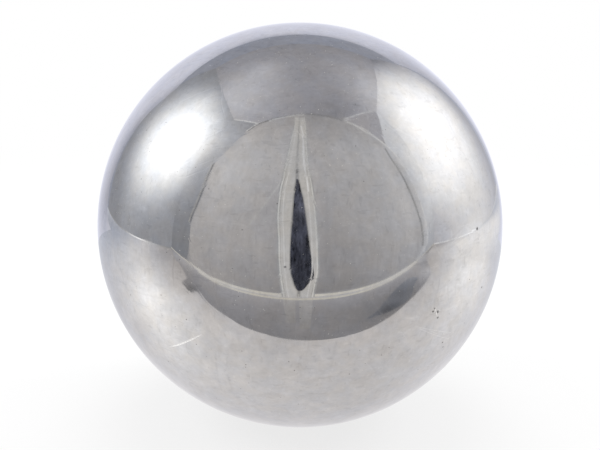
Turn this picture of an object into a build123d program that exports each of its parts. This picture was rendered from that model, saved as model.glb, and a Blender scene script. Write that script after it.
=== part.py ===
from build123d import *

import os

# Polished steel ball: one solid body, ground and lapped to a true sphere.
# The real ball is forged from one slug, ground and lapped, so it is a single piece with no bore,
# flat, seam or thread. Its centre is the origin of the part's own frame, and +Z is up.

PARTS_FOLDER = "parts"

# Driving dimension, in millimetres.
BALL_DIAMETER = 50.0


def half_profile(diameter):
    """The half disc, flat edge on the Z axis, that sweeps out the ball in one full turn."""
    radius = diameter / 2
    with BuildSketch(Plane.XZ) as profile:
        with BuildLine():
            outline = CenterArc((0, 0), radius, -90, 180)
            Line(outline @ 1, outline @ 0)
        make_face()
    return profile.sketch


def make_steel_ball(diameter):
    """The ball, turned from its half profile about the Z axis."""
    return revolve(half_profile(diameter), axis=Axis.Z)


def main():
    """Builds the ball and writes it as the part's one node."""
    os.makedirs(PARTS_FOLDER, exist_ok=True)
    nodes = {"steel_ball": make_steel_ball(BALL_DIAMETER)}
    for name, solid in nodes.items():
        solid.label = name
        export_step(solid, f"{PARTS_FOLDER}/{name}.step")


main()
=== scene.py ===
"""Looks of the polished steel ball: its lapped, lightly worn skin and the light tent that it stands in.

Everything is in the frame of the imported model: +Z up, the ball's centre at the origin and the viewer on the
-Y side. The ball, floor and lamps are in metres. The tent and the sizes of the ball's marks are given in
millimetres, and turned into metres as the meshes are made.
"""

import logging
import math
from collections.abc import Sequence
from dataclasses import dataclass
from enum import Enum

import bmesh
import bpy
import numpy as np
from bpy.types import Material, Mesh, Node, NodeSocket, NodeTree, Object
from mathutils import Matrix, Vector


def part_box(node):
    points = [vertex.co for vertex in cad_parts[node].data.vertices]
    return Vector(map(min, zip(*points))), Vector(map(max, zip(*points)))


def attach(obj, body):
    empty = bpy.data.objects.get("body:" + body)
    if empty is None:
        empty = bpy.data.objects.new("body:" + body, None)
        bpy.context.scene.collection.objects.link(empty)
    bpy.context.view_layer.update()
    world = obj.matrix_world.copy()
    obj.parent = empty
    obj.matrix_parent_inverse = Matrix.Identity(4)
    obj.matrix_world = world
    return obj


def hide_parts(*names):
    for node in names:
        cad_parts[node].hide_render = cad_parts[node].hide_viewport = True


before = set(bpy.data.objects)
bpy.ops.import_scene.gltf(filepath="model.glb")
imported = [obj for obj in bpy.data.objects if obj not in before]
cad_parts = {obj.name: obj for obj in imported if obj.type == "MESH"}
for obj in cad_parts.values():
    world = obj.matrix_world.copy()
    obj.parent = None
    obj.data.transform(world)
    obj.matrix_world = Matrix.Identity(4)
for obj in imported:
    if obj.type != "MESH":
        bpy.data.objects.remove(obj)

log = logging.getLogger("steel_ball")

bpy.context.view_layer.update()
MM = 0.001
MARK_FRESH_GLINT = "mark_fresh_glint"
MARK_GRIME = "mark_grime"
CLOTH_LIGHT = "cloth_light"
LIGHT_REACH = 4.0
STEPS_BETWEEN_KNOTS = 24

Point = tuple[float, float, float]
Pixel = tuple[float, float]


class RayKind(Enum):
    """The kinds of ray that a piece of the studio may show itself to."""

    CAMERA = "visible_camera"
    DIFFUSE = "visible_diffuse"
    GLOSSY = "visible_glossy"
    TRANSMISSION = "visible_transmission"
    SHADOW = "visible_shadow"
    VOLUME = "visible_volume_scatter"


def show_only_to(thing: Object, *kinds: RayKind) -> None:
    """Lets an object be seen by the named kinds of ray and by no other."""
    for kind in RayKind:
        setattr(thing, kind.value, kind in kinds)


def link(thing: Object) -> Object:
    """Puts an object into the scene and returns it."""
    bpy.context.scene.collection.objects.link(thing)
    return thing


@dataclass(frozen=True)
class Portrait:
    """Where the viewer stands, and how a point of the picture finds the ball's skin."""

    width_px: int = 600
    height_px: int = 450
    outline_radius_px: float = 202.6
    ball_radius: float = 0.025
    distance: float = 0.110
    elevation: float = math.radians(11.9)
    roll: float = math.radians(0.7)
    sensor_mm: float = 36.0
    nearest: float = 0.005
    farthest: float = 20.0

    def axes(self) -> tuple[Vector, Vector, Vector]:
        """The picture's right, up and toward-the-viewer directions."""
        back = Vector((0.0, -math.cos(self.elevation), math.sin(self.elevation)))
        up = Vector((0.0, math.sin(self.elevation), math.cos(self.elevation)))
        right = Vector((1.0, 0.0, 0.0))
        turn = Matrix.Rotation(self.roll, 3, back)
        return turn @ right, turn @ up, back

    def focal_px(self) -> float:
        """The focal length, in pixels, at which the ball's outline has its measured radius."""
        half_angle = math.asin(self.ball_radius / self.distance)
        return self.outline_radius_px / math.tan(half_angle)

    def skin_point(self, pixel: Pixel) -> Vector:
        """Finds the point of the ball that shows at a place of the picture.

        Args:
            pixel: Column and row, from the picture's top left corner.

        Returns:
            The unit vector from the ball's centre to that point.
        """
        right, up, back = self.axes()
        across = pixel[0] - self.width_px / 2
        down = pixel[1] - self.height_px / 2
        ray = (right * across - up * down - back * self.focal_px()).normalized()
        eye = back * self.distance
        along = -ray.dot(eye)
        depth = along * along - eye.length_squared + self.ball_radius**2
        return (eye + ray * (along - math.sqrt(max(depth, 0.0)))).normalized()

    def place_camera(self) -> None:
        """Makes the scene's camera."""
        lens = bpy.data.cameras.new("portrait_camera")
        lens.sensor_width = self.sensor_mm
        lens.lens = self.focal_px() / self.width_px * self.sensor_mm
        lens.clip_start = self.nearest
        lens.clip_end = self.farthest
        camera = link(bpy.data.objects.new("portrait_camera", lens))
        right, up, back = self.axes()
        turned = Matrix((right, up, back)).transposed().to_4x4()
        camera.matrix_world = Matrix.Translation(back * self.distance) @ turned
        bpy.context.scene.camera = camera


class NodeBench:
    """A node tree with short calls for adding and joining nodes."""

    def __init__(self, tree: NodeTree) -> None:
        """Takes the tree to work on."""
        self.tree = tree

    def add(self, kind: str, inputs: dict[str | int, object] | None = None, **settings: object) -> Node:
        """Adds a node.

        Args:
            kind: The node's type name.
            inputs: Names or numbers of the node's inputs, and their sources or values.
            settings: Properties of the node and their values.

        Returns:
            The new node.
        """
        node = self.tree.nodes.new(kind)
        for name, value in settings.items():
            setattr(node, name, value)
        for name, source in (inputs or {}).items():
            self.feed(node.inputs[name], source)
        return node

    def feed(self, socket: NodeSocket, source: object) -> None:
        """Joins an output to a socket, or writes a plain value or a tone on it."""
        if isinstance(source, NodeSocket):
            self.tree.links.new(source, socket)
        else:
            socket.default_value = (*source, 1.0) if socket.type == "RGBA" else source

    def math(self, operation: str, *inputs: object, clamp: bool = False) -> NodeSocket:
        """Adds a Math node on the given inputs and returns its output."""
        numbered = dict(enumerate(inputs))
        return self.add("ShaderNodeMath", numbered, operation=operation, use_clamp=clamp).outputs[0]

    def scaled(self, vector: object, factors: object) -> NodeSocket:
        """Multiplies a vector or a colour by another."""
        return self.add("ShaderNodeVectorMath", {0: vector, 1: factors}, operation="MULTIPLY").outputs[0]

    def dimmed(self, vector: object, level: object) -> NodeSocket:
        """Multiplies a vector or a colour by one number."""
        return self.add("ShaderNodeVectorMath", {0: vector, "Scale": level}, operation="SCALE").outputs[0]

    def turned(self, vector: object, angles: Point) -> NodeSocket:
        """Turns a vector by three angles."""
        inputs = {"Vector": vector, "Rotation": angles}
        return self.add("ShaderNodeMapping", inputs, vector_type="POINT").outputs[0]

    def noise(self, vector: object, scale: object, detail: float, rough: float) -> NodeSocket:
        """Adds a noise texture and returns its value, around one half."""
        inputs = {"Vector": vector, "Scale": scale, "Detail": detail, "Roughness": rough}
        return self.add("ShaderNodeTexNoise", inputs, noise_dimensions="3D").outputs["Fac"]

    def wave(self, vector: object, scale: object, detail: float, rough: float) -> NodeSocket:
        """A noise texture's value, around nothing."""
        return self.math("SUBTRACT", self.noise(vector, scale, detail, rough), 0.5)

    def ramp(
        self, value: object, low: object, high: object, start: object = 0.0, end: object = 1.0
    ) -> NodeSocket:
        """Maps low to high smoothly onto start to end and returns the result."""
        inputs = {"Value": value, "From Min": low, "From Max": high, "To Min": start, "To Max": end}
        return self.add("ShaderNodeMapRange", inputs, interpolation_type="SMOOTHSTEP").outputs["Result"]

    def blend(self, factor: object, first: object, second: object) -> NodeSocket:
        """Mixes two colours by a factor and returns the colour."""
        node = self.add("ShaderNodeMix", {"Factor": factor}, data_type="RGBA")
        colours = [socket for socket in node.inputs if socket.type == "RGBA"]
        self.feed(colours[0], first)
        self.feed(colours[1], second)
        return next(socket for socket in node.outputs if socket.type == "RGBA")

    def mix_shaders(self, factor: object, first: NodeSocket, second: NodeSocket) -> NodeSocket:
        """Mixes two shaders by a factor and returns the shader."""
        return self.add("ShaderNodeMixShader", {0: factor, 1: first, 2: second}).outputs[0]

    def where(self) -> NodeSocket:
        """The place on the object, in its own frame."""
        return self.add("ShaderNodeTexCoord").outputs["Object"]

    def attribute(self, name: str, output: str) -> NodeSocket:
        """A value that the mesh carries."""
        return self.add("ShaderNodeAttribute", attribute_name=name).outputs[output]

    def effect(self, group: NodeTree, output: str, **inputs: object) -> NodeSocket:
        """Sets in a node group.

        Args:
            group: The group.
            output: The output wanted.
            inputs: Input names, with _ for a space, and their sources or values.

        Returns:
            The group's named output.
        """
        named = {name.replace("_", " "): source for name, source in inputs.items()}
        return self.add("ShaderNodeGroup", named, node_tree=group).outputs[output]

    def seen_directly(self) -> NodeSocket:
        """One for camera, glossy and transmitted rays, and nothing for the rest."""
        path = self.add("ShaderNodeLightPath").outputs
        mirrored = self.math("MAXIMUM", path["Is Glossy Ray"], path["Is Transmission Ray"])
        return self.math("MAXIMUM", path["Is Camera Ray"], mirrored)


class EffectBench(NodeBench):
    """A bench on a new shader node group, whose first input is a vector."""

    def __init__(self, name: str, inputs: dict[str, float], *outputs: str) -> None:
        """Starts the group.

        Args:
            name: The group's name.
            inputs: Names of the other inputs, and their first values.
            outputs: Names of the outputs.
        """
        super().__init__(bpy.data.node_groups.new(name, "ShaderNodeTree"))
        sockets = self.tree.interface
        sockets.new_socket("Vector", in_out="INPUT", socket_type="NodeSocketVector")
        for label, value in inputs.items():
            sockets.new_socket(label, in_out="INPUT", socket_type="NodeSocketFloat").default_value = value
        for label in outputs:
            sockets.new_socket(label, in_out="OUTPUT", socket_type="NodeSocketFloat")
        self.given = self.add("NodeGroupInput").outputs
        self.made = self.add("NodeGroupOutput").inputs

    def finish(self, **sources: NodeSocket) -> NodeTree:
        """Joins the outputs and returns the group."""
        for name, source in sources.items():
            self.feed(self.made[name], source)
        return self.tree


@dataclass(frozen=True)
class Effects:
    """The shader node groups that the finishes share."""

    haze: NodeTree
    hairlines: NodeTree
    flecks: NodeTree
    specks: NodeTree
    mottle: NodeTree

    @classmethod
    def build(cls) -> "Effects":
        """Makes every group once."""
        return cls(make_haze(), make_hairlines(), make_flecks(), make_specks(), make_mottle())


def make_haze() -> NodeTree:
    """Cloudy wipe marks: soft patches, drawn out a little along one direction."""
    bench = EffectBench("haze", {"Patch": 90.0, "Cover": 0.5}, "Mask")
    vector, patch = bench.given["Vector"], bench.given["Patch"]
    streak_share, soft = 0.45, 0.12
    broad = bench.noise(vector, patch, 4.0, 0.55)
    wiped = bench.scaled(bench.turned(vector, (0.4, 0.9, 0.3)), (1.0, 4.0, 1.0))
    streaks = bench.noise(wiped, patch, 3.0, 0.6)
    clouds = bench.math("MULTIPLY", broad, 1.0 - streak_share)
    both = bench.math("MULTIPLY_ADD", streaks, streak_share, clouds)
    low = bench.math("SUBTRACT", 0.78, bench.math("MULTIPLY", bench.given["Cover"], 0.5))
    mask = bench.ramp(both, bench.math("SUBTRACT", low, soft), bench.math("ADD", low, soft))
    return bench.finish(Mask=mask)


def make_hairlines() -> NodeTree:
    """Fine scratches left by lapping and handling, in three crossing directions."""
    bench = EffectBench("hairlines", {"Pitch": 700.0, "Width": 0.012, "Share": 0.5}, "Mask")
    pitch = bench.given["Pitch"]
    along, soft = (1.0, 0.05, 0.35), 0.06
    total = None
    for angles in ((0.2, 0.7, 0.5), (1.3, -0.4, 2.1), (-0.9, 1.9, 1.2)):
        turned = bench.turned(bench.given["Vector"], angles)
        off = bench.math("ABSOLUTE", bench.wave(bench.scaled(turned, along), pitch, 1.0, 0.3))
        line = bench.ramp(off, 0.0, bench.given["Width"], 1.0, 0.0)
        patch = bench.noise(turned, bench.math("MULTIPLY", pitch, 0.22), 2.0, 0.5)
        edge = bench.math("SUBTRACT", 0.75, bench.math("MULTIPLY", bench.given["Share"], 0.4))
        kept = bench.math("MULTIPLY", line, bench.ramp(patch, edge, bench.math("ADD", edge, soft)))
        total = kept if total is None else bench.math("MAXIMUM", total, kept)
    return bench.finish(Mask=total)


def make_flecks() -> NodeTree:
    """Short dark and pale flecks, some lying across and some down."""
    bench = EffectBench("flecks", {"Pitch": 1900.0, "Share": 0.4}, "Dark", "Pale")
    vector, pitch, soft = bench.given["Vector"], bench.given["Pitch"], 0.07
    across = bench.noise(bench.scaled(vector, (0.28, 0.28, 1.0)), pitch, 2.0, 0.55)
    down = bench.noise(bench.scaled(vector, (1.0, 1.0, 0.25)), pitch, 2.0, 0.55)
    low = bench.math("MULTIPLY_ADD", bench.given["Share"], 0.10, 0.33)
    high = bench.math("SUBTRACT", 1.0, low)
    made = {}
    for name, edge, way in (("Dark", low, "SUBTRACT"), ("Pale", high, "ADD")):
        end = bench.math(way, edge, soft)
        made[name] = bench.math("MAXIMUM", *(bench.ramp(wave, edge, end) for wave in (across, down)))
    return bench.finish(**made)


def make_specks() -> NodeTree:
    """Scattered round specks of uneven size."""
    bench = EffectBench("specks", {"Count": 900.0, "Size": 0.12, "Share": 0.2}, "Mask")
    place = {"Vector": bench.given["Vector"], "Scale": bench.given["Count"]}
    cells = bench.add("ShaderNodeTexVoronoi", place, voronoi_dimensions="3D", feature="F1").outputs
    draw = bench.add("ShaderNodeSeparateColor", {"Color": cells["Color"]}).outputs
    kept = bench.math("LESS_THAN", draw["Red"], bench.given["Share"])
    smallest, core = 0.35, 0.55
    size = bench.math("MULTIPLY", bench.given["Size"], bench.math("ADD", draw["Green"], smallest))
    spot = bench.ramp(cells["Distance"], bench.math("MULTIPLY", size, core), size, 1.0, 0.0)
    return bench.finish(Mask=bench.math("MULTIPLY", spot, kept))


def make_mottle() -> NodeTree:
    """Folds, creases and thick-and-thin yarns of the tent's cloth, as a factor around one: on the tent it
    makes painted light and shade over the folds, creases and yarns, and on the floor a small change of tone.
    """
    depths = {"Folds": 40.0, "Fold depth": 0.1, "Yarns": 400.0, "Yarn depth": 0.05}
    bench = EffectBench("mottle", depths, "Factor")
    hanging = bench.scaled(bench.given["Vector"], (1.0, 1.0, 0.3))
    folds = bench.wave(hanging, bench.given["Folds"], 3.0, 0.55)
    yarns = bench.wave(hanging, bench.given["Yarns"], 2.0, 0.6)
    swing = 4.0
    deep = bench.math("MULTIPLY", folds, bench.math("MULTIPLY", bench.given["Fold depth"], swing))
    fine = bench.math("MULTIPLY", yarns, bench.math("MULTIPLY", bench.given["Yarn depth"], swing))
    return bench.finish(Factor=bench.math("ADD", bench.math("ADD", deep, fine), 1.0))


class Finish:
    """A procedural finish, made from nodes and the shared groups."""

    name: str

    def build(self, effects: Effects) -> Material:
        """Makes the material.

        Args:
            effects: The shared node groups.

        Returns:
            The finished material.
        """
        material = bpy.data.materials.new(self.name)
        material.use_nodes = True
        material.node_tree.nodes.clear()
        bench = NodeBench(material.node_tree)
        bench.add("ShaderNodeOutputMaterial", {"Surface": self.surface(bench, effects)})
        return material

    def surface(self, bench: NodeBench, effects: Effects) -> NodeSocket:
        """Lays out the nodes and returns the shader."""
        raise NotImplementedError


@dataclass(frozen=True)
class PolishedSteel(Finish):
    """Lapped chrome steel with wipe haze, hairlines, tiny pits and a little dust; the cores of fresh
    scratches carry a painted glint.
    """

    name: str = "polished_steel"
    tone: Point = (0.588, 0.585, 0.587)
    hazed_tone: Point = (0.555, 0.553, 0.556)
    warm_tint: Point = (1.012, 1.000, 0.985)
    cool_tint: Point = (0.988, 0.998, 1.018)
    # Bright base colour for the scratch cores: fresh metal, lifted to a painted glint.
    fresh_glint_tone: Point = (0.86, 0.86, 0.85)
    grime_tone: Point = (0.10, 0.09, 0.085)
    dust_tone: Point = (0.50, 0.48, 0.45)
    rim_tint: Point = (0.90, 0.905, 0.93)
    clean_gloss: float = 0.025
    hazed_gloss: float = 0.070
    hairline_gloss: float = 0.03
    worn_gloss: float = 0.32
    pit_grime: float = 0.55
    ripple_pitch: float = 260.0
    ripple_height: float = 0.0011 * MM
    hairline_depth: float = 0.0009 * MM
    cloud_depth: float = 0.20
    grain_depth: float = 0.16
    hairline_shine: float = 0.035
    score_shade: float = -0.05
    pale_fleck: float = 0.05
    dark_fleck: float = -0.08

    def surface(self, bench: NodeBench, effects: Effects) -> NodeSocket:
        """Lays out the finish's nodes.

        Args:
            bench: The material's bench.
            effects: The shared node groups.

        Returns:
            The shader.
        """
        where = bench.where()
        aside = bench.turned(where, (0.6, 0.2, 1.1))
        haze = bench.effect(effects.haze, "Mask", Vector=where, Patch=110.0, Cover=0.55)
        lines = bench.effect(effects.hairlines, "Mask", Vector=where, Pitch=620.0, Width=0.045, Share=0.5)
        scores = bench.effect(effects.hairlines, "Mask", Vector=aside, Pitch=480.0, Width=0.040, Share=0.45)
        pits = bench.effect(effects.specks, "Mask", Vector=where, Count=1300.0, Size=0.10, Share=0.22)
        dust = bench.effect(effects.specks, "Mask", Vector=aside, Count=2600.0, Size=0.11, Share=0.45)
        flecks = bench.add("ShaderNodeGroup", {"Vector": where}, node_tree=effects.flecks).outputs
        fresh_glint, grime = (bench.attribute(name, "Fac") for name in (MARK_FRESH_GLINT, MARK_GRIME))

        shades = (
            (self.cloud_depth, bench.wave(where, 900.0, 3.0, 0.5)),
            (self.grain_depth, bench.wave(where, 2600.0, 2.0, 0.6)),
            (self.hairline_shine, lines),
            (self.score_shade, scores),
            (self.pale_fleck, flecks["Pale"]),
            (self.dark_fleck, flecks["Dark"]),
        )
        level = 1.0
        for depth, mask in shades:
            level = bench.math("MULTIPLY_ADD", mask, depth, level)
        hue = bench.ramp(bench.noise(where, 520.0, 3.0, 0.55), 0.35, 0.65)
        tint = bench.blend(hue, self.cool_tint, self.warm_tint)
        tone = bench.dimmed(bench.scaled(bench.blend(haze, self.tone, self.hazed_tone), tint), level)
        # The pits' grime, the painted glint of fresh scratches and dust, laid over the steel's tone.
        wear_and_glint_tones = (
            (bench.math("MULTIPLY", pits, self.pit_grime), self.grime_tone),
            (grime, self.grime_tone),
            (fresh_glint, self.fresh_glint_tone),
            (dust, self.dust_tone),
        )
        for mask, wear_and_glint_tone in wear_and_glint_tones:
            tone = bench.blend(mask, tone, wear_and_glint_tone)

        gloss = bench.ramp(haze, 0.0, 1.0, self.clean_gloss, self.hazed_gloss)
        gloss = bench.math("ADD", gloss, bench.math("MULTIPLY", lines, self.hairline_gloss))
        worn = bench.math("MAXIMUM", bench.math("MAXIMUM", fresh_glint, grime), bench.math("MAXIMUM", pits, dust))
        gloss = bench.math("ADD", gloss, bench.math("MULTIPLY", worn, self.worn_gloss), clamp=True)

        grooves = bench.math("MULTIPLY", lines, self.hairline_depth / self.ripple_height)
        height = bench.math("SUBTRACT", bench.noise(where, self.ripple_pitch, 2.0, 0.45), grooves)
        bump = {"Strength": 1.0, "Distance": self.ripple_height, "Height": height}
        return bench.add("ShaderNodeBsdfPrincipled", {
            "Base Color": tone,
            "Roughness": gloss,
            "Metallic": bench.math("SUBTRACT", 1.0, dust),
            "Specular Tint": self.rim_tint,
            "Normal": bench.add("ShaderNodeBump", bump).outputs["Normal"],
        }).outputs["BSDF"]


@dataclass(frozen=True)
class TentCloth(Finish):
    """Tent cloth that glows with painted light, standing for the lamps' light that translucent cloth passes
    on; a little uneven from folds and yarns.
    """

    name: str
    folds: float
    fold_depth: float
    yarns: float
    yarn_depth: float
    stitched: float = 0.0
    stitch_from: float = 0.34

    def build(self, effects: Effects) -> Material:
        """Makes the material, which shines for mirrored rays alone and is no lamp of its own."""
        material = super().build(effects)
        material.cycles.emission_sampling = "NONE"
        return material

    def surface(self, bench: NodeBench, effects: Effects) -> NodeSocket:
        """Lays out the finish's nodes.

        Args:
            bench: The material's bench.
            effects: The shared node groups.

        Returns:
            The shader.
        """
        factor = bench.effect(
            effects.mottle, "Factor", Vector=bench.where(), Folds=self.folds, Fold_depth=self.fold_depth,
            Yarns=self.yarns, Yarn_depth=self.yarn_depth,
        )
        if self.stitched:
            factor = bench.math("MULTIPLY", factor, self.stitch_shade(bench))
        return bench.add("ShaderNodeBsdfPrincipled", {
            "Base Color": (0.0, 0.0, 0.0),
            "Roughness": 1.0,
            "Specular IOR Level": 0.0,
            "Emission Color": bench.dimmed(bench.attribute(CLOTH_LIGHT, "Color"), factor),
            "Emission Strength": LIGHT_REACH,
        }).outputs["BSDF"]

    def stitch_shade(self, bench: NodeBench) -> NodeSocket:
        """Darkens a tape along its two edges, where it is sewn down."""
        split = bench.add("ShaderNodeSeparateXYZ", {0: bench.add("ShaderNodeTexCoord").outputs["UV"]})
        off = bench.math("ABSOLUTE", bench.math("SUBTRACT", split.outputs["X"], 0.5))
        return bench.ramp(off, self.stitch_from, 0.5, 1.0, 1.0 - self.stitched)


@dataclass(frozen=True)
class PaleFloor(Finish):
    """Plain pale floor: white to the viewer, with the ball's shadow kept on it."""

    name: str = "pale_floor"
    tone: Point = (0.92, 0.92, 0.92)
    near_share: float = 0.70
    shadow_reach: float = 0.075
    white_reach: float = 0.30

    def surface(self, bench: NodeBench, effects: Effects) -> NodeSocket:
        """Lays out the finish's nodes.

        Args:
            bench: The material's bench.
            effects: The shared node groups.

        Returns:
            The shader.
        """
        where = bench.where()
        factor = bench.effect(
            effects.mottle, "Factor", Vector=where, Folds=30.0, Fold_depth=0.004, Yarns=900.0,
            Yarn_depth=0.003,
        )
        board = bench.add("ShaderNodeBsdfPrincipled", {
            "Base Color": bench.dimmed(self.tone, factor), "Roughness": 0.9, "Specular IOR Level": 0.0,
        }).outputs["BSDF"]
        length = bench.add("ShaderNodeVectorMath", {0: where}, operation="LENGTH").outputs["Value"]
        share = bench.ramp(length, self.shadow_reach, self.white_reach, self.near_share, 1.0)
        white = bench.math("MULTIPLY", share, bench.seen_directly())
        paper = bench.add("ShaderNodeEmission").outputs["Emission"]
        below = bench.add("ShaderNodeNewGeometry").outputs["Backfacing"]
        clear = bench.add("ShaderNodeBsdfTransparent").outputs[0]
        return bench.mix_shaders(below, bench.mix_shaders(white, board, paper), clear)


def smooth_chain(points: Sequence[Point], count: int, rounded: bool = True) -> np.ndarray:
    """Spaces points evenly along a line through given points.

    Args:
        points: The points that the line goes through.
        count: How many points to return.
        rounded: Whether the line rounds its points, or runs straight between them.

    Returns:
        The points, one row each.
    """
    knots = np.array(points, float)
    spans = len(knots) - 1
    padded = np.vstack([2 * knots[0] - knots[1], knots, 2 * knots[-1] - knots[-2]])
    fine = np.linspace(0, spans, spans * STEPS_BETWEEN_KNOTS + 1)
    index = np.minimum(fine.astype(int), spans - 1)
    t = (fine - index)[:, None]
    before, first, second, after = (padded[index + k] for k in range(4))
    line = first + (second - first) * t
    if rounded:
        line = 0.5 * (
            2 * first
            + (second - before) * t
            + (2 * before - 5 * first + 4 * second - after) * t**2
            + (3 * first - before - 3 * second + after) * t**3
        )
    steps = np.concatenate([[0.0], np.cumsum(np.linalg.norm(np.diff(line, axis=0), axis=1))])
    wanted = np.linspace(0, steps[-1], count)
    return np.stack([np.interp(wanted, steps, line[:, k]) for k in range(3)], axis=1)


@dataclass(frozen=True)
class Glow:
    """A soft pool of light on the cloth, full at its middle and half at its reach; below zero it shades."""

    middle: Point
    reach: float
    level: float
    wide: float = 1.0
    deep: float = 1.0
    tall: float = 1.0
    edge: float = 2.0

    def on(self, points: np.ndarray) -> np.ndarray:
        """The light that it adds at each point."""
        offset = (points - np.array(self.middle)) / (self.wide, self.deep, self.tall)
        away = np.linalg.norm(offset, axis=1) / self.reach
        return self.level * np.exp(-math.log(2) * away**self.edge)


@dataclass(frozen=True)
class Light:
    """How bright a piece is from its first edge to its second, with the tints of its shade and its light."""

    first: float
    second: float
    tint: Point = (1.0, 1.0, 1.0)
    glows: tuple[Glow, ...] = ()
    far_tint: Point | None = None
    turn: float = 1.0
    lit_tint: Point = (1.0, 1.0, 1.0)
    lit_from: float = 0.5
    lit_rise: float = 1.4
    darkest: float = 0.01

    def on(self, points: np.ndarray, across: np.ndarray) -> np.ndarray:
        """The colour at each point, as a share of the cloth's full light.

        Args:
            points: The points, one row each.
            across: How far each lies from the first edge to the second, from 0 to 1.

        Returns:
            One row of red, green, blue and alpha for each point.
        """
        level = self.first + (self.second - self.first) * across
        for glow in self.glows:
            level = level + glow.on(points)
        level = np.maximum(level, self.darkest)[:, None]
        near, far = np.array(self.tint), np.array(self.far_tint or self.tint)
        tint = near + (far - near) * np.clip(across / self.turn, 0.0, 1.0)[:, None]
        bright = np.clip((level - self.lit_from) * self.lit_rise, 0.0, 1.0)
        colour = level * (tint + (np.array(self.lit_tint) - tint) * bright) / LIGHT_REACH
        return np.hstack([colour, np.ones((len(points), 1))])


class Cloth(Enum):
    """The cloths, cords and papers that the tent is made of, and the dusk beyond its slit."""

    WALL = TentCloth("tent_wall_cloth", 22.0, 0.035, 260.0, 0.02)
    DOOR = TentCloth("tent_door_cloth", 60.0, 0.06, 420.0, 0.05)
    TAPE = TentCloth("tent_tape", 90.0, 0.04, 900.0, 0.05, stitched=0.45)
    CORD = TentCloth("tent_cord", 60.0, 0.05, 1100.0, 0.08)
    DUSK = TentCloth("room_beyond", 300.0, 0.8, 1100.0, 0.7)
    PAPER = TentCloth("tent_sheet_paper", 60.0, 0.045, 480.0, 0.03)


def stage_piece(name: str, rows: np.ndarray, closed: bool, colours: np.ndarray, material: Material) -> Object:
    """Makes a smooth, lit piece of the stage, which only mirrored rays meet.

    Args:
        name: The piece's name.
        rows: Rows of points in millimetres, all of one length.
        closed: Whether each row closes on itself.
        colours: The light at each point.
        material: The piece's finish.

    Returns:
        The piece, seen by mirrored rays alone.
    """
    corner = np.arange(rows.shape[0] * rows.shape[1]).reshape(rows.shape[:2])
    here, beside = (corner, np.roll(corner, -1, axis=1)) if closed else (corner[:, :-1], corner[:, 1:])
    faces = np.stack([here[:-1], here[1:], beside[1:], beside[:-1]], axis=-1).reshape(-1, 4)
    mesh = bpy.data.meshes.new(name)
    mesh.from_pydata((rows.reshape(-1, 3) * MM).tolist(), [], faces.tolist())
    light = mesh.color_attributes.new(CLOTH_LIGHT, "FLOAT_COLOR", "POINT")
    light.data.foreach_set("color", colours.astype(np.float32).ravel())
    mesh.materials.append(material)
    mesh.shade_smooth()
    log.info("%s: %d faces", name, len(faces))
    piece = link(bpy.data.objects.new(name, mesh))
    show_only_to(piece, RayKind.GLOSSY)
    return piece


@dataclass(frozen=True)
class TentPiece:
    """A piece of the tent, spread between two edges."""

    name: str
    first_edge: tuple[Point, ...]
    second_edge: tuple[Point, ...]
    light: Light
    along: int
    across: int
    cloth: Cloth = Cloth.WALL
    rounded: bool = True

    def build(self, material: Material) -> None:
        """Makes the piece, lit and in place, with a map that runs across and along it.

        Args:
            material: Its finish.
        """
        edges = self.first_edge, self.second_edge
        first, second = (smooth_chain(edge, self.along, self.rounded) for edge in edges)
        share = np.linspace(0, 1, self.across)
        rows = first[:, None, :] + (second - first)[:, None, :] * share[None, :, None]
        across, along = np.tile(share, self.along), np.repeat(np.linspace(0, 1, self.along), self.across)
        colours = self.light.on(rows.reshape(-1, 3), across)
        mesh = stage_piece(self.name, rows, False, colours, material).data
        corners = np.zeros(len(mesh.loops), np.int32)
        mesh.loops.foreach_get("vertex_index", corners)
        spread = np.stack([across, along], axis=1)[corners]
        mesh.uv_layers.new(name="cloth").data.foreach_set("uv", spread.astype(np.float32).ravel())


@dataclass(frozen=True)
class Piping:
    """A round cord sewn along a seam of the tent."""

    name: str
    path: tuple[Point, ...]
    thickness: float
    light: Light
    along: int = 160
    sides: int = 10
    steep: float = 0.2
    cloth: Cloth = Cloth.CORD

    def build(self, material: Material) -> None:
        """Makes the cord along its seam.

        Args:
            material: Its finish.
        """
        line = smooth_chain(self.path, self.along)
        ahead = unit_rows(np.gradient(line, axis=0))
        side = np.cross(ahead, (0.0, 0.0, 1.0))
        upright = np.linalg.norm(side, axis=1) < self.steep
        side[upright] = np.cross(ahead[upright], (1.0, 0.0, 0.0))
        side = unit_rows(side)
        lift = np.cross(side, ahead)
        angle = np.linspace(0, 2 * math.pi, self.sides, endpoint=False)[None, :, None]
        ring = side[:, None] * np.cos(angle) + lift[:, None] * np.sin(angle)
        rows = line[:, None] + ring * self.thickness / 2
        share = np.repeat(np.linspace(0, 1, self.along), self.sides)
        stage_piece(self.name, rows, True, self.light.on(rows.reshape(-1, 3), share), material)


def unit_rows(vectors: np.ndarray) -> np.ndarray:
    """The directions of the rows, each of length one."""
    return vectors / np.linalg.norm(vectors, axis=1, keepdims=True)


@dataclass(frozen=True)
class Station:
    """A place on the tent's outline: where its wall stands, and where the wall meets the roof."""

    foot: Point
    head: Point


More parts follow.
